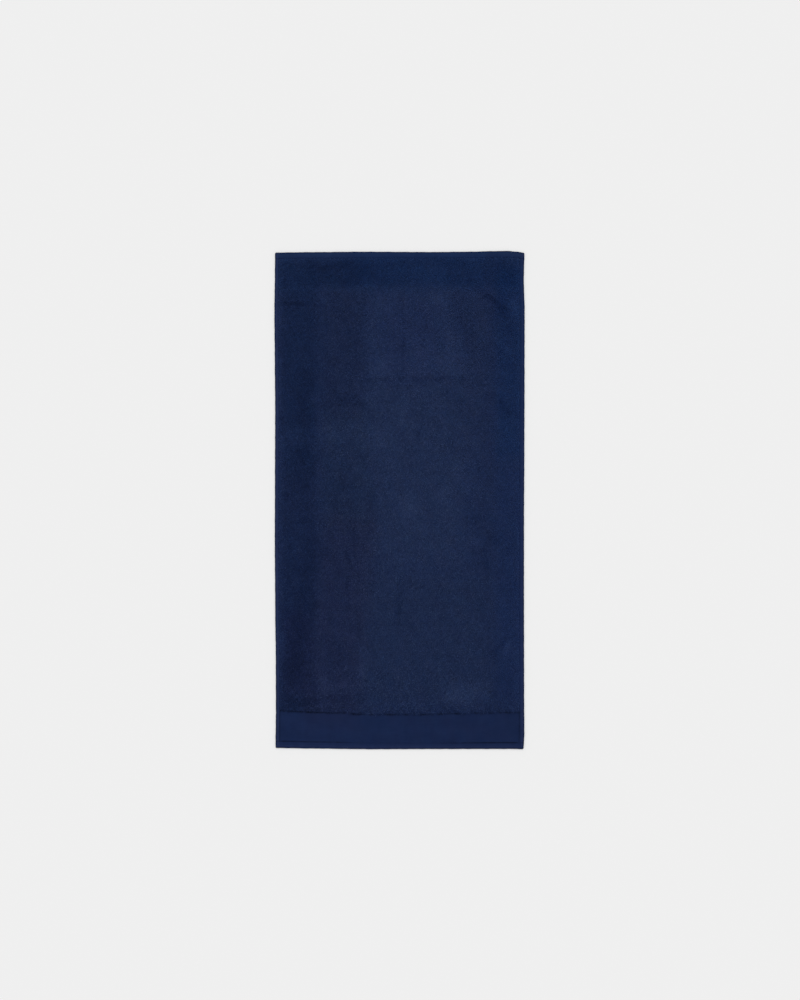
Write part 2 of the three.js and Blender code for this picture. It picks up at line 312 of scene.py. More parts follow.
def thickness_at(s, t):
    """The towel's full thickness, loops and all: what its solid has."""
    from_left, from_right, from_top = s + WIDTH / 2, WIDTH / 2 - s, LENGTH / 2 - t
    woven = BAND_THICK + (FIELD_THICK - BAND_THICK) * ease((t - pile_end(s)) / PILE_SHOULDER)
    line = hem_line(s)

    def hem(inset, wide, inside):
        at_fold = STITCH_THICK + (HEM_THICK - STITCH_THICK) * ease((wide - inset) / STITCH_WIDE)
        past = STITCH_THICK + (inside - STITCH_THICK) * ease((inset - wide) / PILE_SHOULDER)
        return np.where(inset < wide, at_fold, past)

    whole = np.where(woven < HEM_THICK, HEM_THICK, FIELD_THICK)
    sides = np.minimum(np.minimum(hem(from_left, LEFT_HEM, woven), hem(from_right, RIGHT_HEM, woven)), whole)
    inside = np.where((from_left < LEFT_HEM) | (from_right < RIGHT_HEM), sides, np.minimum(sides, woven))
    top = np.minimum(hem(from_top, TOP_HEM, FIELD_THICK), np.maximum(inside, HEM_THICK))
    low = np.maximum(inside, STITCH_THICK + (HEM_THICK - STITCH_THICK) * ease((line - t) / STITCH_WIDE))
    return np.where(from_top < TOP_HEM + PILE_SHOULDER, top, np.where(t < line, low, inside))


def seams(s, t):
    """For each place: how far it is inside the nearest hem line (under 0 in the field), and how far along that line."""
    d = np.stack([
        LEFT_HEM - (s + WIDTH / 2),
        RIGHT_HEM - (WIDTH / 2 - s),
        TOP_HEM - (LENGTH / 2 - t),
        hem_line(s) - t,
    ])
    # The end hems are folded over the side ones, whose seams stop there.
    d[:2] = np.where(d[2:].max(0) > 0.8, -60.0, d[:2])
    u = np.stack([t, t + 3000.0, s + 6000.0, s + 9000.0])
    near = np.argmin(np.abs(d), 0)
    pick = lambda a: np.take_along_axis(a, near[None], 0)[0]
    return pick(d), pick(u), d.max(0)


def faces_at(s, t):
    """Heights of the woven ground's two faces above the surface that the towel lies on, without the swells."""
    d, u, most = seams(s, t)
    in_hem = most > 0
    field = ease((t - pile_end(s)) / PILE_SHOULDER)  # 0 in the band, 1 in the pile
    high = BAND_THICK + (GROUND_HIGH - BAND_THICK) * field
    low = GROUND_LOW * field
    # Just inside a stitch line lies the hem's inner fold, under the cloth.
    fold = np.exp(-(((-d - 1.5) / 0.9) ** 2)) * (d < 0)
    high = high + 0.42 * fold
    # The stitches draw the cloth down, a little unevenly, and pucker it.
    trough = np.exp(-((d / 0.62) ** 2))
    pull = 0.55 + 0.2 * np.sin(u / 1.9) + 0.14 * np.sin(u / 7.3 + 1.0)
    pucker = 0.16 * np.sin(u / 1.9 + 1.6 * np.sin(u / 17.0)) + 0.15 * np.sin(u / 3.7 + 2.0 * np.sin(u / 41.0))
    ruck = np.exp(-((d / 4.5) ** 2))
    hem_high = np.maximum(HEM_THICK, high) - 0.25 * (1 - ease(np.abs(d) / 5.0))
    inside = ease((-d + 0.2) / 2.2)
    top = np.where(in_hem, hem_high, high + (hem_high - high) * (1 - inside))
    top = top - pull * trough + pucker * ruck * (0.6 + 0.4 * in_hem)
    bottom = np.where(in_hem, 0.0, low * ease((-d - 1.8) / 1.2)) + 0.42 * np.exp(-((d / 0.75) ** 2))
    corner = ((np.minimum(s + WIDTH / 2 - LEFT_HEM, WIDTH / 2 - RIGHT_HEM - s) < 0)
              & ((LENGTH / 2 - t < TOP_HEM) | (t < hem_line(s))))
    return np.maximum(top + 0.35 * corner, bottom + 0.7), bottom


def painted_shade_and_tone_at(x, y):
    """Painted light and shade for the pile's lie: the marks, and a fainter uneven tone."""
    ragged = 3.6 * waves(x, y, 15, 13, 3)
    wander = 4.4 * waves(x, y, 84, 16, 2)
    broken = (1.0 + 0.75 * waves(x, y, 24, 17, 2)).clip(0.0, 2.2)
    total = np.zeros(np.broadcast(x, y).shape)
    for w in PAINTED_SHADE_MARKS:
        length, across = in_mark(w, x, y)
        narrow = w["half"] < 12
        length = length + 1.6 * ragged
        across = across + ragged * (0.5 if narrow else 1.1) + wander * (0.3 if narrow else 1.0)
        mark = ease((w["reach"] - np.abs(length)) / (2 * w["soft"])) * ease((w["half"] - np.abs(across)) / w["soft"])
        total += w["shade"] * mark * (broken if narrow else 1.0)
    return (
        total
        + 0.034 * waves(x, y, 58, 11)
        + 0.052 * waves(x * 2.1, y * 0.75, 30, 12)
        + 0.072 * waves(x * 1.3, y, 11.5, 14, 2)
        + 0.062 * grain_at(x, y) * waves(x * 1.2, y, 6.4, 18, 2)
    )


def blots_at(s, t):
    """How deep the shadow is along the pile's end: dark between its tufts, and deeper to the left."""
    uneven = 0.80 + 0.95 * waves(s, t * 0.35, 11, 36, 2) + 0.45 * waves(s, 0 * t, 70, 38, 2)
    uneven = np.maximum(uneven, 0.85 * (1 - ease((s + 155) / 50)))
    return uneven.clip(0.0, 2.0) * (1.85 - 0.70 * ease((s + 150) / 120) - 0.30 * ease((s - 80) / 110))


def tufts_at(s):
    """How far the pile's ragged end reaches over the border, or stops short of it (under 0), mm."""
    return 1.5 * waves(s, 0 * s, 15, 39, 2) + 1.1 * waves(s, 0 * s + 5.0, 6.5, 40, 2)


def tints_at(x, y):
    """Where the towel looks cooler and where greyer: the tints, and a faint uneven drift."""
    cool = 0.25 * waves(x, y, 44, 15, 2)
    grey = 0.30 * waves(x, y, 38, 20, 2)
    for w in TINTS:
        length, across = in_mark(w, x, y)
        mark = ease((w["reach"] - np.abs(length)) / (1.6 * w["soft"])) * ease((w["half"] - np.abs(across)) / w["soft"])
        cool, grey = cool + w["cool"] * mark, grey + w["grey"] * mark
    return cool, grey


def grain_at(x, y):
    """How uneven the loops' shades are here."""
    total = 0.92 + 0.50 * waves(x, y, 52, 37, 2)
    for w in GRAIN:
        length, across = in_mark(w, x, y)
        total = total + w["more"] * ease((w["reach"] - np.abs(length)) / (1.6 * w["soft"])) * ease((w["half"] - np.abs(across)) / w["soft"])
    return total.clip(0.05, 2.4)


# ---- meshes from arrays ------------------------------------------------------------


def make_mesh(name, places, quads, uv, tris=None, values=None):
    """A smooth mesh piece in metres from arrays in millimetres. uv holds one row per corner; values are numbers per vertex."""
    tris = np.zeros((0, 3), int) if tris is None else tris
    me = bpy.data.meshes.new(name)
    me.vertices.add(len(places))
    me.vertices.foreach_set("co", (np.asarray(places) * 0.001).astype(np.float32).ravel())
    corners = np.concatenate([quads.ravel(), tris.ravel()]).astype(np.int32)
    starts = np.concatenate([np.arange(len(quads)) * 4, len(quads) * 4 + np.arange(len(tris)) * 3]).astype(np.int32)
    me.loops.add(len(corners))
    me.loops.foreach_set("vertex_index", corners)
    me.polygons.add(len(starts))
    me.polygons.foreach_set("loop_start", starts)
    me.polygons.foreach_set("use_smooth", np.ones(len(starts), bool))
    me.update(calc_edges=True)
    me.validate(clean_customdata=False)
    layer = me.uv_layers.new(name="OFBake", do_init=False)
    layer.uv.foreach_set("vector", np.asarray(uv, np.float32).ravel())
    for key, numbers in (values or {}).items():
        me.attributes.new(key, "FLOAT", "POINT").data.foreach_set("value", np.asarray(numbers, np.float32))
    ob = bpy.data.objects.new(name, me)
    bpy.context.scene.collection.objects.link(ob)
    return ob


def spaced(a, b, step):
    return np.linspace(a, b, max(2, int(math.ceil(abs(b - a) / step)) + 1))


# ---- the cloth ---------------------------------------------------------------------

CLOTH_STEP = 4.6
NEAR_STITCH = np.array([-1.7, -1.0, -0.5, 0.0, 0.5, 1.0, 1.7, 2.6, 3.6])


def hem_stations(wide):
    """Insets from a folded edge to just inside its stitch line."""
    return np.concatenate([[0.0], spaced(2.0, wide - 2.6, 2.2), wide + NEAR_STITCH])


def cloth_columns():
    left = -WIDTH / 2 + hem_stations(LEFT_HEM)
    right = WIDTH / 2 - hem_stations(RIGHT_HEM)[::-1]
    return np.concatenate([left, spaced(left[-1], right[0], CLOTH_STEP)[1:-1], right])


def cloth_rows(s):
    """Row places for these columns. They follow the hem line and the pile's end, which wander."""
    line, end = hem_line(s)[:, None], pile_end(s)[:, None]
    share = lambda steps: np.linspace(0, 1, steps + 1)[None]
    bottom = np.array([0.0, 2.0, 4.2, 6.4, 8.4, 10.2])[None] - LENGTH / 2
    bottom = np.broadcast_to(bottom, (len(s), 6))
    near = line + NEAR_STITCH[None]
    band = near[:, -1:] + (end - 1.0 - near[:, -1:]) * share(19)[:, 1:]
    step_up = end + np.array([-0.3, 0.4, 1.1, 1.9, 2.8, 3.8])[None]
    top_in = LENGTH / 2 - TOP_HEM - NEAR_STITCH[::-1][None]
    top_in = np.broadcast_to(top_in, (len(s), len(NEAR_STITCH)))
    field = step_up[:, -1:] + (top_in[:, :1] - step_up[:, -1:]) * share(198)[:, 1:-1]
    top = np.broadcast_to((LENGTH / 2 - np.array([10.2, 8.2, 6.0, 4.0, 2.0, 0.0]))[None], (len(s), 6))
    return np.concatenate([bottom, near, band, step_up, field, top_in, top], 1)


def build_cloth():
    columns = cloth_columns()
    T = cloth_rows(columns)
    nc, nr = T.shape
    S = np.broadcast_to(columns[:, None], T.shape)
    X, Y = in_plan(S, T)
    lift = lift_at(X, Y)
    top, bottom = faces_at(S, T)
    # The edge's face and underside draw in, and three rings carry the fold's nose round.
    ox = np.zeros_like(X)
    oy = np.zeros_like(Y)
    ox[0], ox[-1] = -1, 1
    oy[:, 0], oy[:, -1] = -1, 1
    corner = (np.abs(ox) + np.abs(oy)) > 1
    round_in = np.where(corner, 0.62, 1.0)
    uneven = 0.10 * np.sin((X + Y) / 5.3) + 0.08 * np.sin((X - 1.3 * Y) / 2.9)
    mid = (top + bottom) / 2
    half = (top - bottom) / 2
    at = lambda draw, rise: np.stack([
        X - ox * (draw + EDGE_ROUND * (1 - round_in) * 1.6) + ox * uneven,
        Y - oy * (draw + EDGE_ROUND * (1 - round_in) * 1.6) + oy * uneven,
        np.maximum(lift, 0) + mid + rise * half,
    ], -1)
    face_top = at(EDGE_ROUND, 1.0)
    face_low = at(EDGE_ROUND * 0.8, -1.0)
    idx = np.arange(nc * nr).reshape(nc, nr)
    places = [face_top.reshape(-1, 3), face_low.reshape(-1, 3)]
    low0 = nc * nr
    quads = [
        np.stack([idx[:-1, :-1], idx[1:, :-1], idx[1:, 1:], idx[:-1, 1:]], -1).reshape(-1, 4),
        np.stack([idx[:-1, :-1], idx[:-1, 1:], idx[1:, 1:], idx[1:, :-1]], -1).reshape(-1, 4) + low0,
    ]
    # The way round the edge, anticlockwise from above.
    ring = np.concatenate([idx[:-1, 0], idx[-1, :-1], idx[:0:-1, -1], idx[0, :0:-1]])
    n = len(ring)
    rings = [ring]
    base = 2 * low0
    for degrees in (52, 0, -52):
        a = math.radians(degrees)
        nose = at(EDGE_ROUND * (1 - math.cos(a)), math.sin(a)).reshape(-1, 3)[ring]
        places.append(nose)
        rings.append(base + np.arange(n))
        base += n
    rings.append(ring + low0)
    for a, b in zip(rings[:-1], rings[1:]):
        quads.append(np.stack([a, b, np.roll(b, -1), np.roll(a, -1)], -1))
    places = np.concatenate(places)
    # A face map: the top on the left half, the underside on the right, the nose's two halves round each.
    flat = np.stack([X, Y], -1).reshape(-1, 2)
    out = np.stack([ox, oy], -1).reshape(-1, 2)[ring]
    counts = [len(quads[0]), len(quads[1])] + [n] * 4
    chart = np.repeat([0, 1, 0, 0, 1, 1], counts)
    pushed = np.zeros((len(places), 2))
    pushed[:low0] = flat
    pushed[low0:2 * low0] = flat
    for k, push in enumerate((1.6, 3.0, 1.6)):
        pushed[2 * low0 + k * n:2 * low0 + (k + 1) * n] = flat[ring] + out * push
    quads = np.concatenate(quads)
    uv = pushed[quads]
    uv = (uv - [-256.0, -506.0]) / [512.0, 1012.0]
    uv[..., 0] = 0.004 + 0.49 * uv[..., 0] + 0.502 * chart[:, None]
    s_all = np.concatenate([S.ravel(), S.ravel(), np.tile(S.ravel()[ring], 3)])
    t_all = np.concatenate([T.ravel(), T.ravel(), np.tile(T.ravel()[ring], 3)])
    d, u, most = seams(s_all, t_all)
    end = pile_end(s_all)
    ragged = 0.7 * waves(s_all, t_all * 0.2, 7, 21, 2)
    pile = np.where(most > -1.0, 0.0, ease((t_all - end - 0.2 + ragged) / 1.4))
    # A hem's crown is painted a little lighter, partly as wear and partly as a painted highlight where it faces up; its
    # nose, which turns away, and its stitched trough get painted shade.
    from_side = np.minimum(s_all + WIDTH / 2, WIDTH / 2 - s_all)
    from_end = np.minimum(t_all + LENGTH / 2, LENGTH / 2 - t_all)
    edge = np.minimum(from_side, from_end)
    at_end = from_end < from_side
    fade = np.where(at_end & (t_all > 0), 12.0, 5.4)
    crown = ease((edge - 1.9) / 1.1) * ease((3.4 + fade - edge) / fade) * (most > 0)
    strength = np.where(at_end, np.where(t_all > 0, 0.17, 0.21), np.where(s_all < 0, 0.42, np.where(t_all < end, 0.38, 0.30)))
    nose = 1 - ease((edge - 0.6) / 1.7)
    uneven_shade = 1 + 0.35 * waves(s_all, t_all, 16, 22, 2)
    at_side = np.where(t_all < end, np.where(s_all < 0, 0.50, 0.34), np.where(s_all < 0, 0.22, 0.08))
    seam_shade = np.where(at_end, np.where(t_all < 0, along(HEM_SHADE, "x", "deep", s_all), 0.20), at_side)
    hem_shade = strength * crown * uneven_shade - 0.34 * nose - (seam_shade * np.exp(-((d / 1.05) ** 2)) * uneven_shade).clip(0, 0.95)
    # The border next to the pile lies in the loops' shadow.
    tufts = tufts_at(s_all)
    hem_shade = hem_shade - 0.38 * blots_at(s_all, t_all) * np.exp(-(((end - tufts - t_all).clip(-9, 9) / 1.9) ** 2)) * (most < 0) * (t_all < end + 0.5)
    hem_shade = hem_shade + 0.030 * waves(s_all * 0.6, t_all * 1.6, 60, 23, 2) - 0.035 * s_all / (WIDTH / 2) * (t_all < end)
    cool, grey = tints_at(places[:, 0], places[:, 1])
    values = {
        "pile": pile,  # 1 under the loops
        "hem": ease(most / 1.0 + 0.5),
        "wear_and_painted_shade": hem_shade,
        "painted_shade_and_tone": painted_shade_and_tone_at(places[:, 0], places[:, 1]),
        # Along the crowns the lighter wear and painted highlight is also made greyer and less cool.
        "cool": cool - np.where(at_end, np.where(t_all > 0, 0.50, 1.05), 1.70) * crown - 0.25 * ease(most + 0.5),
        "grey": grey + np.where(at_end, np.where(t_all > 0, 3.0, 0.8), np.where(s_all < 0, 2.6, 1.0)) * crown,
    }
    return make_mesh("towel_cloth", places, quads, uv.reshape(-1, 2), values=values)


# ---- the loops of the pile -----------------------------------------------------------

FACE_STEP = (2.62, 3.02)
BACK_STEP = (5.6, 6.7)
FACE_PIECES = 5


def loop_mesh(name, foot, middle, way, side, half_long, half_wide, half_high, curl, outward, tone, painted_shade_and_tone, cool, grey):
    """Loops of yarn, each a closed bent bean of 12 triangles with its two feet in the ground.

    foot and middle are points under and in the loop's crown, way and side unit
    vectors along and across it; curl holds the sideways bends of its two shoulders.
    """
    n = len(foot)
    up = np.array([0.0, 0.0, 1.0]) * outward
    col = lambda v: np.asarray(v)[:, None]
    points = [foot - way * col(half_long)]
    for k, share in ((0, -0.50), (1, 0.50)):
        centre = middle + way * col(half_long * share) + side * col(curl[k])
        points.append(centre + up * col(half_high))
        points.append(centre - up * col(half_high * 0.40) + side * col(half_wide))
        points.append(centre - up * col(half_high * 0.40) - side * col(half_wide))
    points.append(foot + way * col(half_long))
    places = np.stack(points, 1)
    faces = np.array([[0, 1, 2], [0, 2, 3], [0, 3, 1], [7, 5, 4], [7, 6, 5], [7, 4, 6]])
    bands = np.array([[1, 4, 5, 2], [2, 5, 6, 3], [3, 6, 4, 1]])
    p = places[0] - places[0].mean(0)
    every = np.concatenate([faces, bands[:, [0, 1, 2]], bands[:, [0, 2, 3]]])
    if np.einsum("ij,ij->i", p[every[:, 0]], np.cross(p[every[:, 1]], p[every[:, 2]])).sum() < 0:
        faces, bands = faces[:, ::-1], bands[:, ::-1]
    # The face map gives each loop a cell: along the loop up the cell, round it across.
    v_of = np.array([0.0, 0.25, 0.25, 0.25, 0.75, 0.75, 0.75, 1.0])
    u_of = np.array([0.0, 0.0, 1 / 3, 2 / 3, 0.0, 1 / 3, 2 / 3, 0.0])

    def map_of(face):
        u, v = u_of[face].copy(), v_of[face].copy()
        ring = (face > 0) & (face < 7)
        if {1, 4} & set(face.tolist()) and {3, 6} & set(face.tolist()):
            u[np.isin(face, (1, 4))] = 1.0
        u[~ring] = u[ring].mean()
        return np.stack([u, v], -1)

    grid = int(math.ceil(math.sqrt(n)))
    cell = np.stack([np.arange(n) % grid, np.arange(n) // grid], -1)[:, None, None, :]
    first = (np.arange(n) * 8)[:, None, None]
    uv_quads = (cell + 0.06 + 0.88 * np.stack([map_of(f) for f in bands])[None]) / grid
    uv_tris = (cell + 0.06 + 0.88 * np.stack([map_of(f) for f in faces])[None]) / grid
    around = np.radians([0, 0, 120, 240, 0, 120, 240, 0])
    body = np.array([0, 1, 1, 1, 1, 1, 1, 0])
    each = lambda v: np.repeat(v, 8)
    return make_mesh(
        name, places.reshape(-1, 3), (first + bands[None]).reshape(-1, 4),
        np.concatenate([uv_quads.reshape(-1, 2), uv_tris.reshape(-1, 2)]),
        tris=(first + faces[None]).reshape(-1, 3),
        values={
            "tone": each(tone), "painted_shade_and_tone": each(painted_shade_and_tone), "cool": each(cool), "grey": each(grey),
            "run": np.tile(v_of, n), "round_cos": np.tile(np.cos(around) * body, n), "round_sin": np.tile(np.sin(around) * body, n),
        },
    )


def stand(step, seed):
    """Where the loops stand: columns along the towel, every other one half a step on, all uneven."""
    step_s, step_t = step
    r = np.random.default_rng(seed)
    s0, s1 = -WIDTH / 2 + LEFT_HEM + 0.7, WIDTH / 2 - RIGHT_HEM - 0.7
    columns = spaced(s0, s1, step_s)
    count = int((LENGTH / 2 - TOP_HEM - pile_end(0.0)) / step_t)
    i, j = np.meshgrid(np.arange(len(columns)), np.arange(count + 1), indexing="ij")
    i, j = i.ravel(), j.ravel()
    s = np.clip(columns[i] + r.uniform(-0.38, 0.38, i.shape) * step_s, s0 - 0.3, s1 + 0.3)
    end = pile_end(s) + 1.1
    top = LENGTH / 2 - TOP_HEM - 0.5
    share = (j + 0.5 * (i % 2) + r.uniform(-0.40, 0.40, i.shape)) / (count + 0.5)
    t = end + (top - end) * np.clip(share, 0.0, 1.0)
    return s, t, i, r


def lie_of_loops(x, y, r, n):
    """Which way the loops run: mostly along the towel, in drifts, some any way at all."""
    turn = math.pi / 2 + 0.55 * waves(x, y, 46, 30, 2) + r.normal(0, 0.55, n)
    return np.where(r.random(n) < 0.26, r.uniform(0, math.pi, n), turn)


def build_face_pile():
    s, t, column, r = stand(FACE_STEP, 71)
    n = len(s)
    x, y = in_plan(s, t)
    lift = lift_at(x, y)
    ground = faces_at(s, t)[0]
    full = thickness_at(s, t)
    d, u, most = seams(s, t)
    past_end = t - pile_end(s)
    at_end = 1 - ease((past_end - 1.0) / 4.5)  # 1 at the pile's ragged end
    at_hem = 1 - ease((-most - 0.8) / 4.0)  # 1 next to a hem
    turn = lie_of_loops(x, y, r, n)
    way = np.stack([np.cos(turn), np.sin(turn), np.zeros(n)], -1)
    side = np.stack([-np.sin(turn), np.cos(turn), np.zeros(n)], -1)
    uneven = grain_at(x, y)
    steady = 0.50 + 0.50 * uneven.clip(0, 1)
    half_long = r.uniform(1.50, 2.55, n)
    half_wide = r.uniform(0.42, 0.62, n)
    half_high = r.uniform(0.38, 0.54, n)
    crown = np.maximum(full, 2.7) + 0.16 + 0.30 * steady * r.normal(0, 1, n).clip(-1.7, 1.5) - 0.35 * at_hem * r.random(n)
    crown = np.maximum(crown, ground + 0.75)
    lean = r.normal(0, 0.34, (n, 2)) * steady[:, None] + np.stack([0.45 * waves(x, y, 33, 31, 2), -0.30 + 0.45 * waves(x, y, 39, 32, 2)], -1)
    # Loops at the pile's end fall over the border, some further than others.
    lean[:, 1] -= at_end * (r.uniform(0.2, 2.6, n) ** 1.15 + 0.8 * tufts_at(s)).clip(0.0, 3.4)
    out_x = np.where(s < 0, -1.0, 1.0) * ((WIDTH / 2 - np.abs(s)) < 16)
    lean[:, 0] += at_hem * out_x * r.uniform(0.0, 1.5, n)
    lean[:, 1] += at_hem * ((LENGTH / 2 - t) < TOP_HEM + 6) * r.uniform(0.0, 1.9, n)
    lean_foot = 0.55 * np.clip(lean, -1.6, 1.6)
    foot = np.stack([x + lean_foot[:, 0], y + lean_foot[:, 1], lift + ground - 0.22], -1)
    middle = np.stack([x + lean[:, 0], y + lean[:, 1], lift + crown - half_high], -1)
    bend = r.choice([-1.0, 1.0], n) * r.uniform(0.25, 1.05, n)
    curl = bend + r.normal(0, 0.22, n) * np.array([[1.0], [-1.0]])
    tone = 0.56 + uneven * (0.095 * r.normal(0, 1, n) + 0.13 * r.choice([-1.0, 0.0, 1.0], n, p=[0.18, 0.74, 0.08]))
    # The pile's end stands in its own shadow, in blots.
    blots = blots_at(s, t)
    into = np.maximum(past_end - 1.2 + tufts_at(s), 0)
    tone = tone - blots * (0.26 * np.exp(-((into / (6.5 + 3.5 * (1 - ease((s + 155) / 50)))) ** 2)) + 0.40 * np.exp(-((into / 2.6) ** 2)))
    painted_shade_and_tone = painted_shade_and_tone_at(x, y)
    cool, grey = tints_at(x, y)
    cool = cool + 0.25 * r.normal(0, 1, n)
    strip = (column * FACE_PIECES) // (column.max() + 1)
    pieces = []
    for k in range(FACE_PIECES):
        at = strip == k
        pieces.append(loop_mesh(
            f"pile_face_{k + 1}", foot[at], middle[at], way[at], side[at], half_long[at], half_wide[at],
            half_high[at], curl[:, at], 1, np.clip(tone[at], 0, 1), painted_shade_and_tone[at], cool[at], grey[at],
        ))
    return pieces


def build_back_pile():
    s, t, column, r = stand(BACK_STEP, 72)
    n = len(s)
    x, y = in_plan(s, t)
    lift = lift_at(x, y)
    ground = faces_at(s, t)[1]
    turn = lie_of_loops(x, y, r, n)
    way = np.stack([np.cos(turn), np.sin(turn), np.zeros(n)], -1)
    side = np.stack([-np.sin(turn), np.cos(turn), np.zeros(n)], -1)
    half_high = r.uniform(0.36, 0.50, n)
    lean = r.normal(0, 0.5, (n, 2))
    bend = r.choice([-1.0, 1.0], n) * r.uniform(0.25, 1.2, n)
    foot = np.stack([x + 0.6 * lean[:, 0], y + 0.6 * lean[:, 1], lift + ground + 0.2], -1)
    middle = np.stack([x + lean[:, 0], y + lean[:, 1], lift + half_high + 0.02 + r.uniform(0, 0.14, n)], -1)
    tone = np.clip(0.5 + 0.17 * r.normal(0, 1, n), 0, 1)
    return loop_mesh(
        "pile_back", foot, middle, way, side, r.uniform(1.8, 3.0, n), r.uniform(0.50, 0.76, n), half_high,
        bend + r.normal(0, 0.25, (2, n)), -1, tone, painted_shade_and_tone_at(x, y) * 0.5, *(0.5 * v for v in tints_at(x, y)),
    )


# ---- the stitches ---------------------------------------------------------------------

STITCH_LONG, STITCH_GAP, THREAD = 2.7, 0.5, 0.24


def build_stitches():
    """Lockstitches in the trough of each hem, on both faces: short spindles of thread."""
    r = np.random.default_rng(81)
    step = STITCH_LONG + STITCH_GAP
    lines = []
    for s_line in (-WIDTH / 2 + LEFT_HEM, WIDTH / 2 - RIGHT_HEM):
        t = np.arange(float(hem_line(s_line)) + 0.6, LENGTH / 2 - TOP_HEM - 0.6 - STITCH_LONG, step)
        lines.append((np.full_like(t, s_line), t, np.full_like(t, s_line), t + STITCH_LONG))
    s = np.arange(-WIDTH / 2 + 2.5, WIDTH / 2 - 2.5 - STITCH_LONG, step)
    lines.append((s, np.full_like(s, LENGTH / 2 - TOP_HEM), s + STITCH_LONG, np.full_like(s, LENGTH / 2 - TOP_HEM)))
    lines.append((s, hem_line(s), s + STITCH_LONG, hem_line(s + STITCH_LONG)))
    sa, ta, sb, tb = (np.concatenate(c) for c in zip(*lines))
    n = len(sa)
    wobble = r.normal(0, 0.09, (4, n))
    sa, ta, sb, tb = sa + wobble[0], ta + wobble[1], sb + wobble[2], tb + wobble[3]
    places, quads, tris, uvq, uvt = [], [], [], [], []
    count = 2 * n
    grid = int(math.ceil(math.sqrt(count)))
    for face, up in ((0, 1.0), (1, -1.0)):
        ring_at = lambda share: in_plan(sa + (sb - sa) * share, ta + (tb - ta) * share)
        height = lambda share: faces_at(sa + (sb - sa) * share, ta + (tb - ta) * share)[face]
        x0, y0 = ring_at(0.0)
        x1, y1 = ring_at(1.0)
        way = np.stack([x1 - x0, y1 - y0], -1)
        way /= np.linalg.norm(way, axis=1, keepdims=True)
        side = np.stack([-way[:, 1], way[:, 0], np.zeros(n)], -1)
        tops = []
        for share, out, r_at in ((0.0, -0.12, 0), (0.22, 0.14, 1), (0.78, 0.14, 1), (1.0, -0.12, 0)):
            px, py = ring_at(share)
            z = lift_at(px, py) + height(share) + up * out
            if face == 1:
                z = np.maximum(z, 0.06 + THREAD * 0.5)
            centre = np.stack([px, py, z], -1)
            if r_at:
                for k in range(4):
                    a = math.pi / 2 * k + math.pi / 4
                    tops.append(centre + THREAD * (math.cos(a) * side * 1.2 + math.sin(a) * np.array([0, 0, 0.8])))
            else:
                tops.append(centre)
        pts = np.stack(tops, 1)  # tip, ring, ring, tip
        first = (np.arange(n) * 10)[:, None] + face * n * 10
        places.append(pts.reshape(-1, 3))
        cell = (np.arange(n) + face * n)
        cell = np.stack([cell % grid, cell // grid], -1)[:, None, None, :]
        q = np.stack([first + np.array([1 + k, 5 + k, 5 + (k + 1) % 4, 1 + (k + 1) % 4])[None] for k in range(4)], 1)
        t3 = np.stack(
            [first + np.array([0, 1 + k, 1 + (k + 1) % 4])[None] for k in range(4)]
            + [first + np.array([9, 5 + (k + 1) % 4, 5 + k])[None] for k in range(4)], 1)
        uq = np.stack([np.array([[k / 4, .25], [k / 4, .75], [(k + 1) / 4, .75], [(k + 1) / 4, .25]]) for k in range(4)])
        ut = np.stack(
            [np.array([[(k + .5) / 4, 0], [k / 4, .25], [(k + 1) / 4, .25]]) for k in range(4)]
            + [np.array([[(k + .5) / 4, 1], [(k + 1) / 4, .75], [k / 4, .75]]) for k in range(4)])
        quads.append(q.reshape(-1, 4))
        tris.append(t3.reshape(-1, 3))
        uvq.append(((cell + 0.06 + 0.88 * uq[None]) / grid).reshape(-1, 2))
        uvt.append(((cell + 0.06 + 0.88 * ut[None]) / grid).reshape(-1, 2))
    return make_mesh(
        "hem_stitches", np.concatenate(places), np.concatenate(quads),
        np.concatenate(uvq + uvt), tris=np.concatenate(tris),
    )


# ---- materials ---------------------------------------------------------------------------

# The dyed yarn from its deepest shade to its lightest, a range that also carries the painted light and shade of the
# loops' lie.
DYE = [
    (0.00, (0.0042, 0.0092, 0.0345)),
    (0.25, (0.0087, 0.0176, 0.0600)),
    (0.50, (0.0148, 0.0280, 0.0865)),
    (0.75, (0.0240, 0.0420, 0.1150)),
    (1.00, (0.0370, 0.0610, 0.1480)),
]
SHEEN = (0.30, 0.42, 0.85, 1.0)
GLOSS = (0.45, 0.60, 1.0, 1.0)


def dye(depth=1.0):
    """The yarn's shades, all of them deeper or lighter."""
    return [(p, tuple(c * depth for c in colour)) for p, colour in DYE]



def new_material(name):
    m = bpy.data.materials.new(name)
    m.use_nodes = True
    nt = m.node_tree
    return m, nt, nt.nodes["Principled BSDF"]


def node(nt, kind, **sets):
    n = nt.nodes.new(kind)
    for k, v in sets.items():
        if k.startswith("in_"):
            key = k[3:]
            n.inputs[int(key) if key.isdigit() else key].default_value = v
        else:
            setattr(n, k, v)
    return n


def maths(nt, operation, a, b=None, clamp=False):
    n = nt.nodes.new("ShaderNodeMath")
    n.operation, n.use_clamp = operation, clamp
    for i, v in enumerate((a, b)):
        if v is None:
            continue
        if isinstance(v, (int, float)):
            n.inputs[i].default_value = v
        else:
            nt.links.new(v, n.inputs[i])
    return n.outputs[0]


def read(nt, name):
    return node(nt, "ShaderNodeAttribute", attribute_name=name, attribute_type="GEOMETRY").outputs["Fac"]


def ramp(nt, value, stops):
    n = nt.nodes.new("ShaderNodeValToRGB")
    e = n.color_ramp.elements
    while len(e) < len(stops):
        e.new(0.5)
    for el, (p, c) in zip(e, stops):
        el.position, el.color = p, (*c, 1.0)
    nt.links.new(value, n.inputs[0])
    return n.outputs[0]


def times(nt, colour, factor):
    """The colour times a number."""
    n = nt.nodes.new("ShaderNodeVectorMath")
    n.operation = "SCALE"
    nt.links.new(colour, n.inputs[0])
    nt.links.new(factor, n.inputs["Scale"])
    return n.outputs[0]


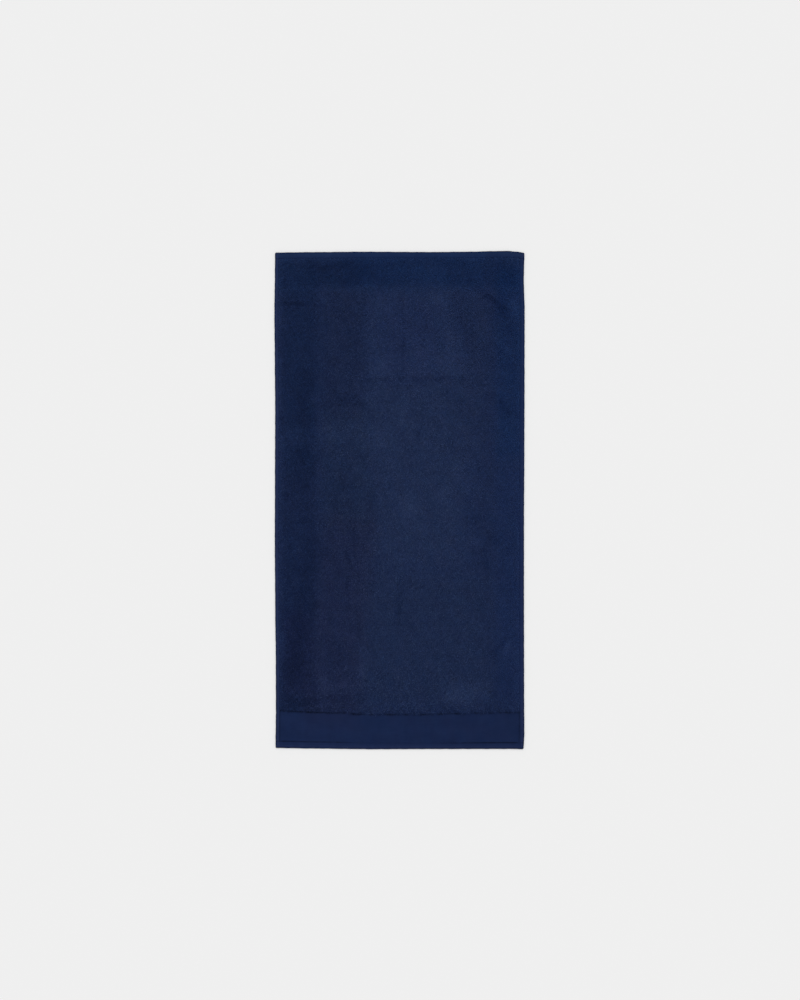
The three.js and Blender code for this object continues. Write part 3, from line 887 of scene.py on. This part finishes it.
def tinted(nt, colour):
    """The colour made cooler (less red) and greyer (less blue) where the piece says so."""
    n = nt.nodes.new("ShaderNodeVectorMath")
    n.operation = "MULTIPLY"
    turn = nt.nodes.new("ShaderNodeCombineXYZ")
    cool, grey = read(nt, "cool"), read(nt, "grey")
    for i, (less, more) in enumerate(((-0.150, 0.040), (0.012, 0.040), (0.040, -0.012))):
        share = maths(nt, "ADD", maths(nt, "MULTIPLY", cool, less), maths(nt, "MULTIPLY", grey, more))
        nt.links.new(maths(nt, "ADD", share, 1.0), turn.inputs[i])
    nt.links.new(colour, n.inputs[0])
    nt.links.new(turn.outputs[0], n.inputs[1])
    return n.outputs[0]


def mixed(nt, factor, a, b):
    n = node(nt, "ShaderNodeMix", data_type="RGBA")
    for sock, v in ((n.inputs[0], factor), (n.inputs[6], a), (n.inputs[7], b)):
        if isinstance(v, bpy.types.NodeSocket):
            nt.links.new(v, sock)
        else:
            sock.default_value = v
    return n.outputs[2]


def object_places(nt, scale=(1000.0, 1000.0, 1000.0), degrees=0.0, shift=0.0):
    """The place on the towel in millimetres, turned first if it is asked for."""
    c = nt.nodes.new("ShaderNodeTexCoord")
    source = c.outputs["Object"]
    if degrees:
        turn = node(nt, "ShaderNodeVectorRotate", rotation_type="Z_AXIS", in_Angle=math.radians(degrees))
        nt.links.new(source, turn.inputs["Vector"])
        source = turn.outputs[0]
    m = nt.nodes.new("ShaderNodeMapping")
    m.inputs["Location"].default_value = (shift, 1.7 * shift, 0.0)
    m.inputs["Scale"].default_value = scale
    nt.links.new(source, m.inputs["Vector"])
    return m.outputs[0]


def mixed_number(nt, factor, a, b):
    """a where factor is 0, b where it is 1."""
    return maths(nt, "ADD", a, maths(nt, "MULTIPLY", factor, maths(nt, "SUBTRACT", b, a)))


def noise(nt, where, scale, detail=2.0, rough=0.5):
    n = node(nt, "ShaderNodeTexNoise", in_Scale=scale, in_Detail=detail, in_Roughness=rough)
    nt.links.new(where, n.inputs["Vector"])
    return n.outputs["Fac"]


def bump(nt, height, strength, distance, normal=None):
    n = node(nt, "ShaderNodeBump", in_Strength=strength, in_Distance=distance)
    nt.links.new(height, n.inputs["Height"])
    if normal is not None:
        nt.links.new(normal, n.inputs["Normal"])
    return n.outputs[0]


def cotton(p, rough=0.92, sheen=0.12):
    p.inputs["Roughness"].default_value = rough
    p.inputs["Specular IOR Level"].default_value = 0.07
    p.inputs["Specular Tint"].default_value = GLOSS
    p.inputs["Sheen Weight"].default_value = sheen
    p.inputs["Sheen Roughness"].default_value = 0.42
    p.inputs["Sheen Tint"].default_value = SHEEN


def pile_material():
    m, nt, p = new_material("terry_loops")
    cotton(p, 0.92, 0.12)
    where = object_places(nt)
    fine = noise(nt, where, 1.3, 3.0, 0.6)
    # The shade runs from loop to loop, with the painted light and shade of the nap's lie, and within the yarn.
    at = maths(nt, "ADD", read(nt, "tone"), maths(nt, "MULTIPLY", read(nt, "painted_shade_and_tone"), 1.0))
    at = maths(nt, "ADD", at, maths(nt, "MULTIPLY", maths(nt, "SUBTRACT", fine, 0.5), 0.24))
    # Two plies twisted round each other, with painted shade where they meet, and their fibres.
    round_at = maths(nt, "ARCTAN2", read(nt, "round_sin"), read(nt, "round_cos"))
    twist = maths(nt, "SINE", maths(nt, "ADD", maths(nt, "MULTIPLY", round_at, 2.0), maths(nt, "MULTIPLY", read(nt, "run"), 2 * math.pi * 3.2)))
    at = maths(nt, "ADD", at, maths(nt, "MULTIPLY", twist, 0.085), clamp=True)
    nt.links.new(tinted(nt, ramp(nt, at, dye(1.30))), p.inputs["Base Color"])
    nt.links.new(maths(nt, "ADD", maths(nt, "MULTIPLY", fine, 0.14), 0.82), p.inputs["Roughness"])
    fibres = noise(nt, where, 3.6, 3.0, 0.65)
    plies = bump(nt, twist, 0.90, 0.00016)
    nt.links.new(bump(nt, fibres, 0.60, 0.00022, plies), p.inputs["Normal"])
    return m


# Rods of yarn: which way they run, how wide and long, mm, and how far their pattern is moved.
RODS = [(8.0, 0.95, 2.6, 0.0), (68.0, 1.00, 2.4, 3.7), (-52.0, 0.92, 2.5, 8.1)]


def cloth_material():
    m, nt, p = new_material("towel_weave")
    cotton(p, 0.86, 0.10)
    where = object_places(nt)
    pile = read(nt, "pile")
    # The border's fine weft ribs, crossed by the warp.
    weft = node(nt, "ShaderNodeTexWave", wave_type="BANDS", bands_direction="Y", in_Scale=0.42, in_Distortion=0.6, in_Detail=2.0)
    warp = node(nt, "ShaderNodeTexWave", wave_type="BANDS", bands_direction="X", in_Scale=0.60, in_Distortion=0.6, in_Detail=2.0)
    for w in (weft, warp):
        w.inputs["Detail Scale"].default_value = 1.0
        nt.links.new(where, w.inputs["Vector"])
    weave = maths(nt, "ADD", maths(nt, "MULTIPLY", weft.outputs["Fac"], 0.62), maths(nt, "MULTIPLY", warp.outputs["Fac"], 0.38))
    slub = noise(nt, object_places(nt, (45, 950, 950)), 1.0, 3.0, 0.55)
    soft = noise(nt, where, 0.035, 3.0, 0.55)
    drift = noise(nt, object_places(nt, (90, 40, 40)), 1.0, 2.0, 0.5)
    at = maths(nt, "ADD", maths(nt, "MULTIPLY", maths(nt, "SUBTRACT", weave, 0.5), 0.16), 0.262)
    at = maths(nt, "ADD", at, maths(nt, "MULTIPLY", maths(nt, "SUBTRACT", slub, 0.5), 0.14))
    at = maths(nt, "ADD", at, maths(nt, "MULTIPLY", maths(nt, "SUBTRACT", soft, 0.5), 0.16))
    at = maths(nt, "ADD", at, maths(nt, "MULTIPLY", maths(nt, "SUBTRACT", drift, 0.5), 0.10), clamp=True)
    flat = ramp(nt, at, dye(0.995))
    # The small loops between the raised ones: short rods of yarn that lie across each other.
    heap, shade = None, None
    for k, (degrees, wide, long, shift) in enumerate(RODS):
        places = object_places(nt, (1000.0 / wide, 1000.0 / long, 0.0), degrees, shift)
        cell = node(nt, "ShaderNodeTexVoronoi", feature="F1", in_Scale=1.0, in_Randomness=0.9)
        nt.links.new(places, cell.inputs["Vector"])
        far = maths(nt, "MULTIPLY", cell.outputs["Distance"], 1.45)
        rise = maths(nt, "SUBTRACT", 1.0, maths(nt, "MULTIPLY", far, far), clamp=True)
        parts = nt.nodes.new("ShaderNodeSeparateColor")
        nt.links.new(cell.outputs["Color"], parts.inputs[0])
        rise = maths(nt, "MULTIPLY", rise, maths(nt, "ADD", maths(nt, "MULTIPLY", parts.outputs[0], 0.5), 0.5))
        tone = parts.outputs[1]
        if heap is None:
            heap, shade = rise, tone
        else:
            over = maths(nt, "GREATER_THAN", rise, heap)
            shade = mixed_number(nt, over, shade, tone)
            heap = maths(nt, "MAXIMUM", heap, rise)
    grain = noise(nt, where, 1.6, 3.0, 0.6)
    # The ground under the loops is painted darker than them as shade between them, each rod darker towards its edges as
    # painted shade in the crevices, and the nap's painted light and shade is added too.
    deep = maths(nt, "MULTIPLY", maths(nt, "SUBTRACT", heap, 0.62), 0.80)
    deep = maths(nt, "ADD", deep, maths(nt, "MULTIPLY", maths(nt, "SUBTRACT", shade, 0.5), 0.26))
    deep = maths(nt, "ADD", deep, maths(nt, "MULTIPLY", maths(nt, "SUBTRACT", grain, 0.5), 0.30))
    deep = maths(nt, "ADD", deep, 0.44)
    deep = maths(nt, "ADD", deep, maths(nt, "MULTIPLY", read(nt, "painted_shade_and_tone"), 0.8), clamp=True)
    under = ramp(nt, deep, dye(1.09))
    colour = mixed(nt, pile, flat, under)
    # The hems' wear, their painted highlight and shade, and the border's painted shadow scale the colour.
    wear_and_shade_scale = maths(nt, "ADD", read(nt, "wear_and_painted_shade"), maths(nt, "ADD", maths(nt, "MULTIPLY", read(nt, "hem"), 0.05), 1.0))
    nt.links.new(tinted(nt, times(nt, colour, wear_and_shade_scale)), p.inputs["Base Color"])
    nt.links.new(maths(nt, "ADD", maths(nt, "MULTIPLY", weave, 0.10), 0.80), p.inputs["Roughness"])
    height = mixed_number(nt, pile, maths(nt, "MULTIPLY", weave, 0.26), heap)
    fuzz = noise(nt, where, 3.2, 3.0, 0.65)
    height = maths(nt, "ADD", height, maths(nt, "MULTIPLY", fuzz, 0.10))
    nt.links.new(bump(nt, height, 1.0, 0.0012), p.inputs["Normal"])
    return m


def thread_material():
    m, nt, p = new_material("sewing_thread")
    cotton(p, 0.62, 0.08)
    where = object_places(nt)
    twist = noise(nt, where, 2.2, 2.0, 0.5)
    nt.links.new(ramp(nt, twist, [(0.3, (0.0060, 0.0120, 0.0400)), (0.7, (0.0110, 0.0200, 0.0600))]), p.inputs["Base Color"])
    nt.links.new(bump(nt, twist, 0.4, 0.0001), p.inputs["Normal"])
    return m


def floor_material():
    m, nt, p = new_material("pale_floor")
    p.inputs["Base Color"].default_value = (0.83, 0.83, 0.83, 1.0)
    p.inputs["Roughness"].default_value = 0.9
    p.inputs["Specular IOR Level"].default_value = 0.0
    return m


# ---- put together --------------------------------------------------------------------------

cloth = build_cloth()
face = build_face_pile()
back = build_back_pile()
stitches = build_stitches()

cloth.data.materials.append(cloth_material())
loops = pile_material()
for piece in (*face, back):
    piece.data.materials.append(loops)
stitches.data.materials.append(thread_material())

for piece in (cloth, *face, back, stitches):
    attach(piece, "root")
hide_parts("towel")

floor_mesh = bpy.data.meshes.new("floor")
floor_mesh.from_pydata([(-6, -6, 0), (6, -6, 0), (6, 6, 0), (-6, 6, 0)], [], [(0, 1, 2, 3)])
floor = bpy.data.objects.new("floor", floor_mesh)
floor.location.z = -0.0002
bpy.context.scene.collection.objects.link(floor)
floor_mesh.materials.append(floor_material())

# ---- light and camera ------------------------------------------------------------------------

scene = bpy.context.scene
scene.view_settings.view_transform = "Standard"
world = bpy.data.worlds.new("studio")
scene.world = world
world.use_nodes = True
world.node_tree.nodes["Background"].inputs["Color"].default_value = (1.0, 1.0, 1.0, 1.0)
world.node_tree.nodes["Background"].inputs["Strength"].default_value = 0.62

key = bpy.data.objects.new("key", bpy.data.lights.new("key", "SUN"))
key.data.energy = 1.55
key.data.angle = math.radians(24)
key.rotation_euler = (math.radians(-30), math.radians(8), 0)
scene.collection.objects.link(key)

MM_PER_PIXEL = 2.01
camera = bpy.data.objects.new("camera", bpy.data.cameras.new("camera"))
camera.data.sensor_width = 36.0
camera.data.lens = 70.0
distance = 1000 * MM_PER_PIXEL / 36.0 * 70.0 / 1000
camera.location = (0.0009, 0.0001, distance)
camera.rotation_euler = (0, 0, 0)
scene.collection.objects.link(camera)
scene.camera = camera
